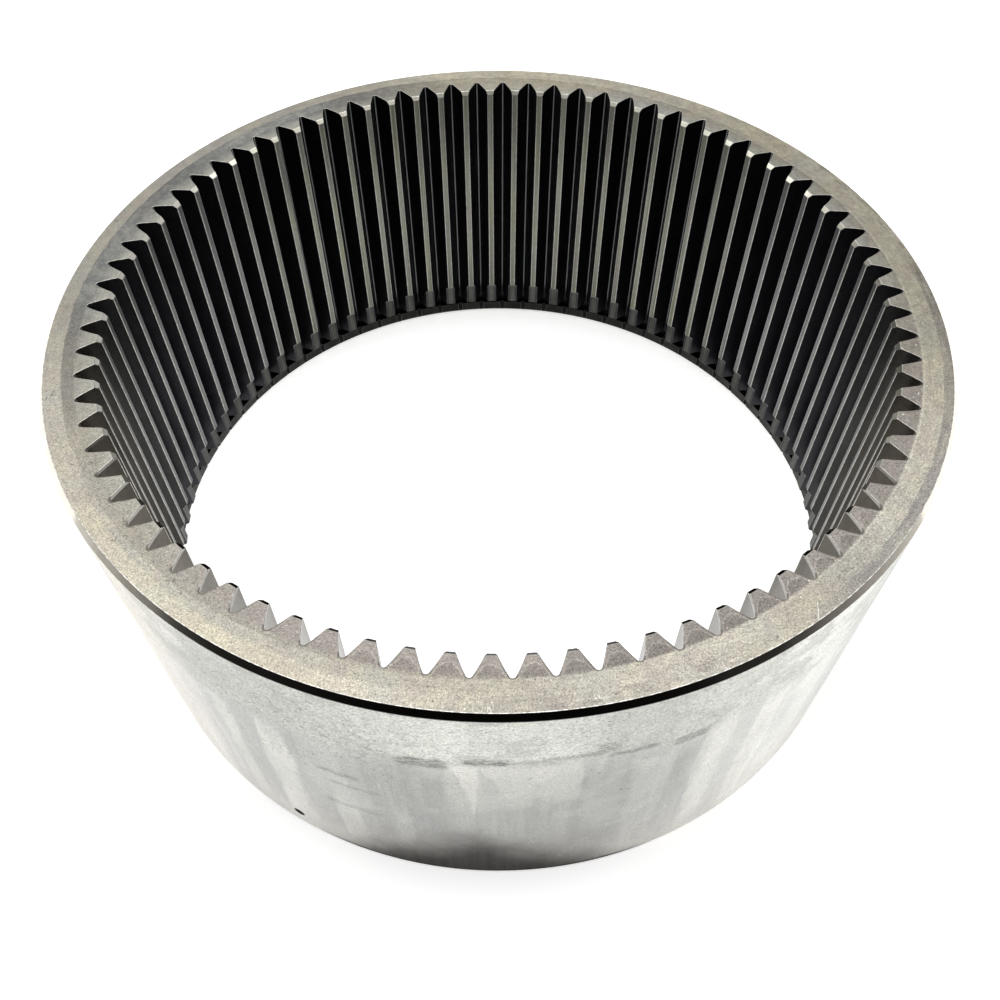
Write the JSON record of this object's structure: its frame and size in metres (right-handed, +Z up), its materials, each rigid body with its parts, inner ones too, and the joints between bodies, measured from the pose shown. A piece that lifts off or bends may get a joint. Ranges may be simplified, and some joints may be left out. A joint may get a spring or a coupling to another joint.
{
  "type": "ring gear",
  "caption": "Tall steel ring gear with straight internal teeth, relieved lower tooth ends, a snap ring groove and a small release hole through the wall.",
  "frame": {"origin": "centre of the bottom face, on the gear's axis", "axes": "+Z up along the gear's axis, towards the end with the open tooth ends; tooth 0 is centred on +X"},
  "size_m": [0.352, 0.3518, 0.152],
  "materials": {
    "gear_steel": "finely turned and blasted steel, a little stained"
  },
  "bodies": {
    "root": {"ring_gear": "gear_steel"}
  },
  "joints": []
}
